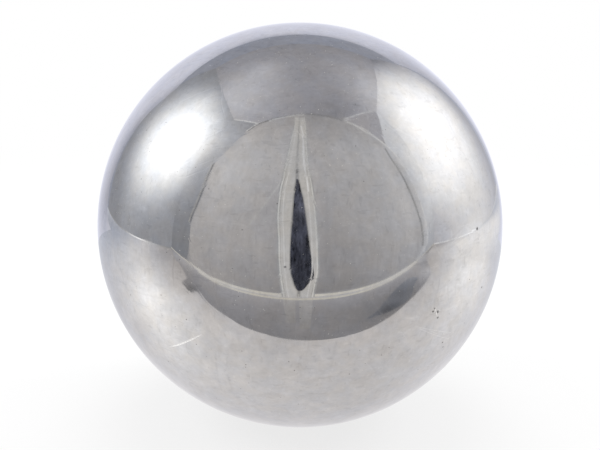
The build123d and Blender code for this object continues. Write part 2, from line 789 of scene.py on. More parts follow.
@dataclass(frozen=True)
class LightTent:
    """The small cloth tent around the ball, open by a slit toward the viewer."""

    back_left: Station = Station((-240, 185, -20), (-122, 125, 200))
    front_left: Station = Station((-215, -90.4, -23.3), (-118, -60, 200))
    door_left: Station = Station((-114, -78.6, -23.2), (-74, -91, 200))
    bay_left: Station = Station((-50, -69.2, -23.1), (-30, -85, 200))
    bay_middle: Station = Station((0, -68.6, -23.1), (6, -78, 200))
    bay_right: Station = Station((50, -69.4, -23.1), (40, -77, 200))
    door_right: Station = Station((135, -80.8, -23.1), (73, -77, 200))
    front_right: Station = Station((287, -93, -18), (124, -28, 200))
    back_right: Station = Station((188, 257, -15), (91, 132, 200))
    left_pool: tuple[Glow, ...] = (
        Glow((-150, -30, 126), 48, 1.30),
        Glow((-168, 22, 97), 56, 1.42),
        Glow((-176, -40, 74), 26, 0.22),
        Glow((-135, 25, 172), 28, 0.12),
        Glow((-160, 110, 110), 45, 0.06),
        Glow((-218, 50, -12), 26, 0.08),
        Glow((-186, -75, 53), 16, -0.08),
        Glow((-187, 0, 53), 16, 0.10),
        Glow((-138, 22, 161), 14, 0.13),
    )
    right_pool: tuple[Glow, ...] = (
        Glow((158, 38, 122), 92, 1.35, edge=2.3),
        Glow((222, 65, 12), 110, 0.30),
        Glow((100, 135, 205), 50, -0.28),
        Glow((215, -62, 80), 34, 0.26, tall=1.3),
        Glow((165, 140, 125), 36, 0.14),
        Glow((225, 55, 52), 30, -0.15),
        Glow((199, 179, 2), 30, 0.08),
        Glow((250, 70, -18), 16, 0.20, wide=2.5, deep=4.5),
    )
    left_cheek_pool: tuple[Glow, ...] = (
        Glow((-138, -80, 105), 28, -0.24),
        Glow((-130, -66, 168), 18, -0.16),
        Glow((-100, -84, 85), 28, 0.08),
    )
    right_cheek_pool: tuple[Glow, ...] = (
        Glow((215, -78, 110), 45, 0.46, tall=1.4),
        Glow((172, -50, 132), 20, 0.12),
    )
    back_pool: tuple[Glow, ...] = (Glow((165, 235, 50), 60, 0.26, tall=2.0), Glow((80, 200, 160), 60, 0.06))
    cool: Point = (0.965, 0.985, 1.05)
    chill: Point = (0.925, 0.965, 1.11)
    warm: Point = (1.03, 0.99, 0.97)
    lit_cord: Point = (1.02, 1.0, 0.96)

    def wall(self, name: str, stations: Sequence[Station], light: Light, rounded: bool = False) -> TentPiece:
        """A wall between stations, from its foot to its head."""
        feet = tuple(station.foot for station in stations)
        heads = tuple(station.head for station in stations)
        return TentPiece(name, feet, heads, light, 64, 64, rounded=rounded)

    def bay(self) -> tuple[Station, ...]:
        """The stations of the front, from left to right."""
        return self.door_left, self.bay_left, self.bay_middle, self.bay_right, self.door_right

    def roof(self) -> TentPiece:
        """The roof, from the heads of the front to the heads of the back."""
        front = tuple(station.head for station in (self.front_left, *self.bay(), self.front_right))
        back = smooth_chain((self.back_left.head, self.back_right.head), len(front))
        light = Light(0.44, 0.42, (0.985, 0.975, 1.04), (
            Glow((-110, -10, 200), 66, 0.37), Glow((135, 22, 200), 60, 0.42),
            Glow((-48, 38, 200), 20, 0.12), Glow((62, -50, 200), 34, -0.06),
        ))
        return TentPiece("tent_roof", front, tuple(map(tuple, back)), light, 80, 64, rounded=False)

    def pieces(self) -> list[TentPiece]:
        """The walls, the roof and the painted shade in the corner beside the door."""
        left, right, cool = self.left_pool, self.right_pool, self.cool
        left_wall = Light(0.44, 0.38, cool, left, lit_tint=(0.985, 1.0, 1.015))
        left_cheek = Light(0.33, 0.46, cool, (*left, *self.left_cheek_pool))
        right_cheek = Light(0.60, 1.00, cool, self.right_cheek_pool)
        right_wall = Light(0.62, 0.36, (0.97, 0.975, 1.055), right, lit_tint=(1.01, 1.0, 0.99))
        back_wall = Light(0.49, 0.45, self.chill, self.back_pool, lit_tint=(0.96, 0.985, 1.05))
        return [
            self.wall("tent_left_wall", (self.back_left, self.front_left), left_wall),
            self.wall("tent_left_cheek", (self.front_left, self.door_left), left_cheek),
            self.wall("tent_front", self.bay(), Light(0.46, 0.52, (1.01, 0.99, 1.0)), rounded=True),
            self.wall("tent_right_cheek", (self.door_right, self.front_right), right_cheek),
            self.wall("tent_right_wall", (self.front_right, self.back_right), right_wall),
            self.wall("tent_back_wall", (self.back_right, self.back_left), back_wall),
            self.roof(),
            self.shaded_corner(),
        ]

    def shaded_corner(self) -> TentPiece:
        """Painted shade: a dim piece over the corner of cloth between the door's right shoulder and the roof.
        """
        door_side = ((72, -75, 192), (72, -72, 165), (76, -70, 140), (85, -68, 118))
        wall_side = ((118, -24, 192), (116.8, -46, 162.5), (110.7, -60, 135), (110.5, -66, 118))
        light = Light(0.53, 0.58, (1.0, 0.98, 1.03))
        return TentPiece("tent_right_shaded_corner", door_side, wall_side, light, 32, 16)

    def seams(self) -> list[Piping]:
        """The corded seams along the feet of the walls and across the roof's front corners."""
        feet = tuple(station.foot for station in self.bay())
        near = feet[1:]
        front = (self.front_left.foot, *feet, self.front_right.foot)
        upper = tuple((x, y + 1.1, z + 1.1) for x, y, z in front)
        lower = tuple((x, y + 1.2, z - 1.1) for x, y, z in ((-82, -73.9, -23.1), *near))
        bright = (
            Glow((-70, -72, -23), 24, 0.22, wide=1.5),
            Glow((90, -75, -23), 34, 0.22, wide=1.5),
        )
        left = (Glow((-215, 2, -22), 36, 1.05),)
        right = (Glow((256, 45, -16), 32, 0.60),)
        welt = Light(0.74, 0.74, (1.08, 1.02, 0.88), bright, lit_tint=self.lit_cord)
        hem = Light(0.68, 0.68, (1.09, 1.02, 0.86), bright, lit_tint=self.lit_cord)
        seams = {
            "front_foot": (((-92, -75.5, -23.2), *near), 2.2, Light(0.60, 0.60, self.warm, bright)),
            "front_welt": (upper, 1.3, welt),
            "front_hem": (lower, 1.0, hem),
            "left_foot": ((self.back_left.foot, self.front_left.foot), 2.0, Light(0.48, 0.40, glows=left)),
            "right_foot": ((self.front_right.foot, self.back_right.foot), 2.2, Light(1.15, 0.9, glows=right)),
            "roof_left": ((self.front_left.head, self.door_left.head), 2.6, Light(0.9, 1.1)),
            "roof_right": (((70, -74.5, 192.5), (118, -24.5, 192.5)), 1.8, Light(0.86, 0.86)),
        }
        return [Piping(f"seam_{name}", *facts) for name, facts in seams.items()]


@dataclass(frozen=True)
class TentDoor:
    """The front's arched door: cloth, a slit held open, and the tapes sewn along the slit."""

    plane: float = -65
    cream: Point = (1.04, 1.0, 0.95)
    left_side: tuple[Pixel, ...] = (
        (-56, -20), (-70, -17.8), (-80, -15.8), (-84.2, -11), (-85, -6), (-84.7, 5), (-85.5, 15),
        (-83, 21.5), (-79.3, 28.8), (-76.8, 41.4), (-77, 54.4), (-78.5, 70), (-67.2, 89.7), (-57.3, 115.2),
        (-48.5, 131.1), (-36.5, 137.6), (-23, 144.1), (-7.8, 151.1), (4.6, 155.6),
    )
    right_side: tuple[Pixel, ...] = (
        (56, -19.2), (70, -18), (83, -16.8), (100, -14.8), (112, -10), (116, -5.5), (118.5, 1), (117.5, 8),
        (115.5, 18.4), (110.2, 30.8), (104, 51.2), (100.4, 67.7), (95.7, 84.2), (96.5, 104.1), (93.5, 123),
        (82.6, 136.1), (69.3, 145.2), (50, 152), (23.8, 156), (4.6, 155.6),
    )
    flap_side: tuple[Pixel, ...] = (
        (60, -19.2), (86, -16.6), (103, -15), (119, -11), (135.5, -4), (140, 5.5), (138.5, 15.7),
        (133, 33.1), (127.7, 53.3), (124.7, 68.7), (121.6, 89.2), (117.4, 105), (108.5, 116.5), (96, 127.5),
        (84, 137), (71, 144.8), (59, 150.8), (42, 154.5), (23.8, 156.8), (4.6, 156.2),
    )
    slit_left: tuple[Pixel, ...] = (
        (-0.3, -17.7), (-1, -17.2), (-1.9, -15.4), (-3, -11.8), (-4, -7.5), (-4.2, 1), (-3.9, 10),
        (-3.4, 18.7), (-3, 28.1), (-2.2, 38.7),
    )
    slit_right: tuple[Pixel, ...] = (
        (0.3, -17.7), (1.8, -17.2), (4.6, -13.4), (6.5, -11), (6.3, -7.3), (4.7, 2.2), (2.5, 18.8),
        (1.3, 26.7), (0, 32.6), (-1.2, 38.7),
    )
    tape_left: tuple[Pixel, ...] = (
        (-7.2, -21.2), (-8.4, -11.4), (-9.1, -2.3), (-9.5, 7.4), (-10.4, 18), (-10.2, 32.3), (-8.8, 46.3),
        (-7.7, 67.9), (-6.8, 87.9), (-6, 110.5), (-6.8, 141.2),
    )
    tape_right: tuple[Pixel, ...] = (
        (6.2, -21.2), (7, -15), (8.1, -8.5), (7.9, -0.2), (7.6, 9), (6.8, 22), (5.8, 34.3), (4.4, 46.4),
        (3.8, 62.7), (3.8, 75.8), (4, 98), (3.3, 141.3),
    )
    zip_line: tuple[Pixel, ...] = ((-1.8, 38.7), (-2.1, 50.4), (-2.1, 89.1), (-2, 138.7))
    inner_fold: tuple[Pixel, ...] = (
        (-0.4, 110.4), (1.4, 89.2), (1.7, 66.1), (2, 50.5), (3.2, 40.3), (4.1, 31.1),
    )
    pulled_fold: tuple[Pixel, ...] = ((-26.5, 13), (-19.6, 22.5), (-15.9, 28.6), (-12.6, 34), (-10, 39.5))
    crown: tuple[Pixel, ...] = (*left_side[14:], (23.8, 156.4), (52.8, 153))

    def at(self, chain: Sequence[Pixel], lift: float) -> tuple[Point, ...]:
        """Puts an outline of the door at a small distance in front of its cloth."""
        return tuple((x, self.plane + lift, z) for x, z in chain)

    def strip(
        self,
        name: str,
        edges: tuple[Sequence[Pixel], Sequence[Pixel]],
        lift: float,
        light: Light,
        **grid: object,
    ) -> TentPiece:
        """A strip of the door between two outlines, at a small distance in front of its cloth."""
        return TentPiece(name, *(self.at(edge, lift) for edge in edges), light, **grid)

    def pieces(self) -> list[TentPiece]:
        """The door's cloth, the dark gap of the slit, its two tapes and the flap along the right side."""
        cloth = Light(0.575, 0.575, (1.030, 0.990, 0.980), (
            Glow((-62, self.plane, 75), 42, 0.20), Glow((85, self.plane, 70), 45, 0.15),
            Glow((14, self.plane, 130), 40, -0.09, wide=1.4, tall=1.2),
            Glow((-50, self.plane, 48), 22, 0.08), Glow((86, self.plane, 26), 22, 0.08),
            Glow((10, self.plane, -30), 30, -0.16),
            Glow((0, self.plane, -26), 20, -0.08, wide=5.0),
            Glow((-14, self.plane, 15), 3, -0.06, tall=6.0),
            Glow((-18, self.plane, 2), 6, 0.06, tall=1.8),
            Glow((12, self.plane, 20), 3, -0.06, tall=6.0),
        ), far_tint=(1.000, 0.987, 1.010))
        left_inner = ((-0.4, -21.2), *self.slit_left, *self.zip_line[1:])
        right_inner = ((-0.1, -21.2), *self.slit_right, *self.zip_line[1:])
        tape = Light(0.70, 0.70, (1.04, 1.005, 0.955))
        dark = Light(0.055, 0.055, (0.90, 0.95, 1.25), (Glow((-1, self.plane, 24), 13, 0.06),))
        flap = Light(0.66, 0.80, (0.995, 0.99, 1.02))
        whole = {"along": 96, "across": 64, "cloth": Cloth.DOOR}
        narrow = {"along": 96, "across": 6, "cloth": Cloth.DOOR}
        sewn = {"along": 160, "across": 12, "cloth": Cloth.TAPE}
        open_gap = {"along": 96, "across": 8, "cloth": Cloth.DUSK}
        return [
            self.strip("door_cloth", (self.left_side, self.right_side), 0.0, cloth, **whole),
            self.strip("door_flap", (self.right_side, self.flap_side), 0.3, flap, **narrow),
            self.strip("door_tape_left", (self.tape_left, left_inner), 0.6, tape, **sewn),
            self.strip("door_tape_right", (right_inner, self.tape_right), 0.6, tape, **sewn),
            self.strip("door_gap", (self.slit_left, self.slit_right), 1.0, dark, **open_gap),
        ]

    def edges(self) -> list[Piping]:
        """The thin lines that the door's sewn edges make, the painted shadow lines just outside the tapes and
        the painted light along the folds.
        """
        dark, pale = Light(0.26, 0.30, (0.95, 0.97, 1.05)), Light(0.95, 1.00, (1.04, 1.0, 0.93))
        low, high, shoulder = self.left_side[6:12], self.left_side[13:16], self.flap_side[12:17]
        stitch, tape_shadow = Light(0.86, 0.86, self.cream), Light(0.50, 0.50)
        cord = Light(0.84, 0.84, (1.03, 1.01, 0.94))
        lines = {
            "edge_left_dark": (low, 1.0, 1.4, dark),
            "edge_left_pale": (moved(low, -1.8), 1.0, 2.2, Light(0.56, 0.66, (1.03, 1.0, 0.95))),
            "edge_left_top_dark": (high, 1.0, 1.1, dark),
            "edge_left_top_pale": (moved(high, -1.8), 1.0, 1.3, pale),
            "edge_right_dark": (self.right_side[5:14], 1.0, 2.2, Light(0.40, 0.47)),
            "edge_right_pale": (self.flap_side[3:12], 1.0, 1.1, Light(0.85, 1.00)),
            "edge_shoulder": (self.flap_side[11:17], 1.0, 1.3, pale),
            "edge_shoulder_inner": (moved(shoulder, -3.0, -3.2), 1.0, 1.1, Light(0.86, 0.78)),
            "edge_right_bound": (moved(shoulder[:-1], 1.4, 0.8), 0.9, 1.0, Light(0.30, 0.30)),
            "tape_left_stitch": (moved(self.tape_left[:9], 2.2), 1.1, 0.5, stitch),
            "tape_right_stitch": (moved(self.tape_right[:7], -2.4), 1.1, 0.5, stitch),
            "edge_crown": (self.crown, 1.0, 1.7, Light(0.26, 0.26)),
            "edge_hem": (moved(self.crown[1:5], 0.0, -2.2), 1.0, 1.4, Light(0.85, 0.85)),
            "tape_left_cord": (self.tape_left, 1.0, 0.7, cord),
            "tape_right_cord": (self.tape_right, 1.0, 0.7, cord),
            # Painted shadow lines, just outside the tapes' edges.
            "tape_left_shadow": (moved(self.tape_left, -0.8), 0.9, 0.6, tape_shadow),
            "tape_right_shadow": (moved(self.tape_right, 0.8), 0.9, 0.6, tape_shadow),
            # The two fold lines are painted light along the cloth's folds.
            "pulled_fold": (self.pulled_fold, -0.4, 1.4, Light(0.61, 0.68, (1.02, 1.0, 0.98))),
            "inner_fold": (self.inner_fold, 1.1, 0.7, Light(1.05, 1.05)),
            "zip": (self.zip_line, 1.2, 0.6, Light(0.46, 0.48)),
            "zip_pull": (((-2.0, 45.0), (-2.0, 43.2)), 1.6, 1.4, Light(0.10, 0.10)),
        }
        return [
            Piping(f"door_{name}", self.at(path, lift), thickness, light)
            for name, (path, lift, thickness, light) in lines.items()
        ]


def moved(chain: Sequence[Pixel], across: float, up: float = 0.0) -> tuple[Pixel, ...]:
    """An outline shifted across and up."""
    return tuple((x + across, z + up) for x, z in chain)


@dataclass(frozen=True)
class BackSheet:
    """White sheet under and behind the ball: a pad with a bowed front edge, swept up at the back."""

    level: float = -25
    front_edge: tuple[Pixel, ...] = (
        (-450, -150), (-150, -72.5), (-121.9, -67.3), (-93.1, -60.3), (-74.5, -54), (-70.8, -50),
        (-67.2, -45.2), (-61.4, -44.6), (-55.3, -43.2), (-52.6, -44.5), (-52.2, -47.2), (-50, -48),
        (-42.1, -45.7), (-32.1, -43.7), (-25, -42.5), (-18.9, -40.9), (-10.1, -39.7), (-2.7, -38.8),
        (4.1, -38.3), (11.1, -37.9), (19.2, -37.6), (24, -37.6), (30.1, -37.9), (37.7, -38.3),
        (47.3, -39.1), (63.2, -39.7), (78, -40.6), (93, -42.4), (110, -49.4), (138.4, -64), (174.5, -80),
        (217.4, -88), (450, -130),
    )
    far_half_width: float = 450
    far_depth: float = 335
    back: float = 135
    left: float = -162.5
    right: float = 96
    top: float = 141
    bend_at: float = 84.6
    cove: float = 45
    lift: float = 0.2

    def pieces(self) -> list[TentPiece]:
        """The pad on the ground and the sheet that rises behind it."""
        edge = tuple((x, y, self.level) for x, y in self.front_edge)
        wide = self.far_half_width
        far = tuple((x, self.far_depth, self.level) for x in (-wide, -wide / 3, wide / 3, wide))
        pad = Light(0.83, 0.83, (1.045, 0.99, 0.970), (
            Glow((0, -90, self.level), 35, -0.40, wide=12.0),
            Glow((-55, -18, self.level), 22, 0.40, wide=1.5, deep=0.75),
            Glow((-57, -14.5, self.level), 9, 0.24, wide=1.6, deep=0.9),
            Glow((-74, -34, self.level), 10, -0.10, wide=1.5),
            Glow((-120, 4, self.level), 28, 0.20, wide=3.0),
            Glow((-190, 115, self.level), 85, -0.20),
            Glow((215, 70, self.level), 114, 0.42, wide=1.1, edge=4.0),
            Glow((74, -2, self.level), 20, 0.38, wide=1.8),
            Glow((82, 24, self.level), 18, 0.18, wide=1.6),
            Glow((-15, -14, self.level), 15, -0.06, wide=1.4),
            Glow((-43, 21, self.level), 9, -0.07, wide=1.5),
            Glow((-36, -1, self.level), 6, -0.12),
            Glow((-30, -17, self.level), 7, 0.09),
            Glow((36, 14, self.level), 7, -0.05),
            Glow((236, -86, self.level), 28, 0.18, wide=1.6),
            Glow((62, 112, self.level), 50, -0.10, wide=0.8, deep=1.3),
            Glow((205, -28, self.level), 20, -0.12, wide=2.8),
            Glow((-150, -44, self.level), 14, -0.12, wide=2.0),
        ), far_tint=(0.915, 0.97, 1.115), turn=0.34, lit_tint=(1.02, 1.0, 0.98))
        rise = Light(0.99, 0.99, (0.955, 0.965, 1.085), (
            Glow((self.left, self.back, 45), 24, -0.36, tall=5.0),
            Glow((self.right, self.back, 100), 24, -0.24, tall=1.6),
            Glow((self.right, self.back, 0), 20, -0.20, tall=2.0),
            Glow((-30, self.back, 150), 18, -0.30, wide=10.0),
            Glow((-125, 110, -18), 32, -0.22),
            Glow((60, self.back, 16), 30, 0.14),
        ), lit_tint=(0.962, 0.972, 1.070))
        sides = self.profile(self.left), self.profile(self.right)
        return [
            TentPiece("sheet_pad", edge, far, pad, 560, 130, Cloth.PAPER),
            TentPiece("sheet_rise", *sides, rise, 64, 48, Cloth.PAPER),
        ]

    def profile(self, x: float) -> tuple[Point, ...]:
        """The sheet's side edge, from the ground up through the cove to its top."""
        turns = [math.radians(angle) for angle in (0, 30, 60, 90)]
        start, foot = self.back - self.cove, self.level + self.lift
        bend = [(x, start + self.cove * math.sin(a), foot + self.cove * (1 - math.cos(a))) for a in turns]
        return (*bend, (x, self.back, self.bend_at), (x, self.back, self.top))


@dataclass(frozen=True)
class Studio:
    """The tent, the floor, the lamps and the white surround."""

    tent: LightTent = LightTent()
    door: TentDoor = TentDoor()
    sheet: BackSheet = BackSheet()
    ground_level: float = -25.6
    # Height of the painted shadow under the sheet's right front edge.
    pad_edge_shadow_level: float = -25.4
    tape_level: float = -25.3
    ground_half_width: float = 400
    ground_depths: tuple[float, float] = (-200, 50)
    floor_radius: float = 6.0
    surround_fill: float = 0.75
    lamp_size: float = 0.35
    lamp_power: float = 0.9

    def raise_tent(self, effects: Effects) -> None:
        """Builds every piece of the tent.

        Args:
            effects: The shared node groups.
        """
        finishes = {cloth: cloth.value.build(effects) for cloth in Cloth}
        cloths = (*self.tent.pieces(), *self.door.pieces(), *self.sheet.pieces(), self.ground())
        # The ground's two tapes, and the painted shadow under the sheet's right front edge.
        folds = (*self.ground_tapes(), self.ground_pad_edge_shadow())
        for piece in (*cloths, *folds, *self.tent.seams(), *self.door.edges()):
            piece.build(finishes[piece.cloth])

    def ground(self) -> TentPiece:
        """The tent's own floor cloth, which shows between the sheet and the door."""
        level, wide = self.ground_level, self.ground_half_width
        light = Light(0.34, 0.34, (1.01, 0.985, 1.01), (
            Glow((0, -92, level), 20, 0.42, wide=6.0),
            Glow((-160, -74, level), 26, 0.10, wide=2.0),
            Glow((-46, -58, level), 14, 0.07, wide=1.5),
            Glow((-57.5, -47, level), 5, -0.16),
            Glow((104, -45, level), 11, 0.37, wide=2.0),
            Glow((125, -70, level), 18, 0.11, wide=2.4),
            Glow((180, -82, level), 20, 0.16, wide=1.6),
            Glow((50, -48, level), 7, -0.05, wide=3.0),
            Glow((0, -45, level), 4, 0.05),
        ))
        near, far = (((-wide, y, level), (wide, y, level)) for y in self.ground_depths)
        return TentPiece("tent_ground", near, far, light, 400, 230)

    def ground_pad_edge_shadow(self) -> TentPiece:
        """A painted shadow on the ground cloth, under the lifted right front edge of the sheet."""
        level = self.pad_edge_shadow_level
        outer = (
            (24.2, -43.5), (31.7, -46), (37.9, -49.2), (49.3, -54.2), (63.1, -58.2), (75.6, -59.9),
            (83.6, -58.4),
        )
        inner = (
            (24.1, -43.3), (29.4, -42.8), (33.3, -41.6), (40.2, -40.8), (48.3, -40.4), (56.6, -42.4),
            (68.1, -47.7), (81.9, -51.8),
        )
        light = Light(0.30, 0.29, (0.95, 0.98, 1.08), (
            Glow((37, -43, level), 4, -0.14, wide=1.6),
            Glow((54, -50, level), 5, -0.05, wide=1.4),
            Glow((84, -56, level), 12, 0.12),
        ))
        first, second = (tuple((x, y, level) for x, y in side) for side in (outer, inner))
        return TentPiece("ground_pad_edge_shadow", first, second, light, 80, 16, Cloth.DOOR)

    def ground_tapes(self) -> list[TentPiece]:
        """The two tapes that run on from the slit across the ground toward the sheet."""
        level = self.tape_level
        corners = {
            "ground_tape_left": ((-8.6, -69), (-2, -69), (-4.4, -48), (-1.1, -48)),
            "ground_tape_right": ((0, -69), (7.1, -69), (0.4, -44.5), (3.8, -44.5)),
        }
        light = Light(0.54, 0.39, (1.02, 0.99, 0.98))
        return [
            TentPiece(name, ((*a, level), (*b, level)), ((*c, level), (*d, level)), light, 12, 40, Cloth.DOOR)
            for name, (a, b, c, d) in corners.items()
        ]

    def lay_floor(self, effects: Effects, level: float) -> Object:
        """Lays the pale floor under the ball.

        Args:
            effects: The shared node groups.
            level: The height of the ball's lowest point.

        Returns:
            The floor, which mirrored rays do not see.
        """
        mesh = bpy.data.meshes.new("studio_floor")
        shape = bmesh.new()
        bmesh.ops.create_circle(shape, cap_ends=True, segments=96, radius=self.floor_radius)
        shape.to_mesh(mesh)
        shape.free()
        mesh.materials.append(PaleFloor().build(effects))
        floor = link(bpy.data.objects.new("studio_floor", mesh))
        floor.location.z = level
        floor.visible_glossy = False
        return floor

    def hang_lamps(self) -> None:
        """Hangs a soft lamp on each side and one overhead, for the floor's shadow and the dust."""
        spots = {
            "lamp_left": (-0.45, -0.10, 0.40),
            "lamp_right": (0.45, 0.10, 0.40),
            "lamp_over": (0.0, 0.05, 0.60),
        }
        for name, spot in spots.items():
            data = bpy.data.lights.new(name, "AREA")
            data.shape = "DISK"
            data.size = self.lamp_size
            data.energy = self.lamp_power
            lamp = link(bpy.data.objects.new(name, data))
            lamp.location = spot
            lamp.rotation_euler = (-Vector(spot)).to_track_quat("-Z", "Y").to_euler()
            lamp.visible_glossy = False

    def surround(self) -> None:
        """Sets the white surround: plain fill light, and pure white where it is seen or mirrored."""
        world = bpy.data.worlds.new("white_surround")
        world.use_nodes = True
        world.node_tree.nodes.clear()
        bench = NodeBench(world.node_tree)
        fill = self.surround_fill
        level = bench.math("MULTIPLY_ADD", bench.seen_directly(), 1.0 - fill, fill)
        background = bench.add("ShaderNodeBackground", {"Color": (1.0, 1.0, 1.0), "Strength": level})
        bench.add("ShaderNodeOutputWorld", {"Surface": background.outputs["Background"]})
        world.cycles.sampling_method = "NONE"
        bpy.context.scene.world = world


@dataclass(frozen=True)
class Scratch:
    """A groove in the ball's skin, drawn through points of the picture; its sizes are in millimetres."""

    path_px: tuple[Pixel, ...]
    width: float
    depth: float
    # How strongly the groove's core shows fresh metal with its painted glint.
    fresh_glint: float = 1.0

    def line(self, view: Portrait) -> np.ndarray:
        """Points along the groove on the ball, close together, in metres."""
        knots = [tuple(view.skin_point(pixel) * view.ball_radius) for pixel in self.path_px]
        line = smooth_chain(knots, STEPS_BETWEEN_KNOTS * len(knots))
        return unit_rows(line) * view.ball_radius


@dataclass(frozen=True)
class Pit:
    """A small round dent, centred on a point of the picture; its sizes are in millimetres."""

    at_px: Pixel
    width: float
    depth: float
    grime: float


@dataclass
class MarkField:
    """Every mark on the ball, and what they do to a point of its skin."""

    view: Portrait
    scratches: tuple[Scratch, ...]
    pits: tuple[Pit, ...]
    lip_share: float = 0.22
    lip_at: float = 1.2
    lip_width: float = 0.3
    slimmest: float = 0.25
    bead_pitch: float = 0.55 * MM
    bead_swing: float = 0.25
    bead_wander: float = 3.0
    end_steepness: float = 12
    groove_power: float = 1.5
    # How far across a groove the painted glint of fresh metal reaches.
    groove_shine: float = 1.25
    pit_power: float = 1.2
    pit_smear: float = 1.2

    def __post_init__(self) -> None:
        """Works out where each mark lies."""
        self.lines = [scratch.line(self.view) for scratch in self.scratches]
        centres = [self.view.skin_point(pit.at_px) for pit in self.pits]
        self.centres = np.array(centres) * self.view.ball_radius

    def nearest(self, points: np.ndarray) -> np.ndarray:
        """How far each point is from the edge of the nearest mark, in metres.

        Args:
            points: Points on the ball's sphere.

        Returns:
            One distance for each point, below zero inside a mark.
        """
        away = np.full(len(points), np.inf)
        for scratch, line in zip(self.scratches, self.lines):
            away = np.minimum(away, distance_to_line(points, line)[0] - scratch.width * MM / 2)
        for pit, centre in zip(self.pits, self.centres):
            away = np.minimum(away, np.linalg.norm(points - centre, axis=1) - pit.width * MM / 2)
        return away

    def effect(self, points: np.ndarray) -> tuple[np.ndarray, np.ndarray, np.ndarray]:
        """Works out the depth, the painted glint of fresh metal and the grime at each point.

        Args:
            points: Points on the ball's sphere.

        Returns:
            Depth in metres, and two shares from 0 to 1, one value each for each point.
        """
        depth, fresh_glint, grime = np.zeros((3, len(points)))
        for scratch, line in zip(self.scratches, self.lines):
            away, along, share = distance_to_line(points, line)
            taper = np.sqrt(np.clip(4 * share * (1 - share), 0.0, 1.0)).clip(self.slimmest, 1.0)
            u = away / (scratch.width * MM / 2 * taper)
            turn = along / self.bead_pitch
            swell = np.sin(turn * 2 * math.pi + self.bead_wander * np.sin(turn))
            beads = 1 - self.bead_swing + self.bead_swing * swell
            near, far = (np.clip(part * self.end_steepness, 0, 1) for part in (share, 1 - share))
            kept = beads * near * far
            depth += scratch.depth * MM * kept * self.hollow(u, self.groove_power)
            fresh_glint = np.maximum(fresh_glint, scratch.fresh_glint * np.clip(self.groove_shine - u, 0, 1) * kept)
        for pit, centre in zip(self.pits, self.centres):
            u = np.linalg.norm(points - centre, axis=1) / (pit.width * MM / 2)
            depth += pit.depth * MM * self.hollow(u, self.pit_power)
            grime = np.maximum(grime, pit.grime * np.clip(self.pit_smear - u, 0, 1))
        return depth, fresh_glint, grime

    def hollow(self, u: np.ndarray, power: float) -> np.ndarray:
        """The shape across a mark, from its middle at 0 past its edge at 1: a hollow and a raised lip."""
        lip = self.lip_share * np.exp(-(((u - self.lip_at) / self.lip_width) ** 2))
        return np.clip(1 - u * u, 0, None) ** power - lip


def distance_to_line(points: np.ndarray, line: np.ndarray) -> tuple[np.ndarray, np.ndarray, np.ndarray]:
    """Finds the nearest place on a line of short steps.

    Args:
        points: The points to look from.
        line: The line's own points, close together.

    Returns:
        The distance to the line, the length along it, and that length as a share.
    """
    middle = line.mean(axis=0)
    reach = np.linalg.norm(line - middle, axis=1).max() + 2 * MM
    chosen = np.flatnonzero(np.linalg.norm(points - middle, axis=1) < reach)
    away = np.full(len(points), 1.0)
    along = np.zeros(len(points))
    steps = np.linalg.norm(np.diff(line, axis=0), axis=1)
    begun = np.concatenate([[0.0], np.cumsum(steps)])
    for start, end, step, before in zip(line[:-1], line[1:], steps, begun):
        way = (end - start) / step
        t = np.clip((points[chosen] - start) @ way, 0, step)
        gap = np.linalg.norm(points[chosen] - start - t[:, None] * way, axis=1)
        closer = gap < away[chosen]
        away[chosen[closer]] = gap[closer]
        along[chosen[closer]] = before + t[closer]
    return away, along, along / begun[-1]


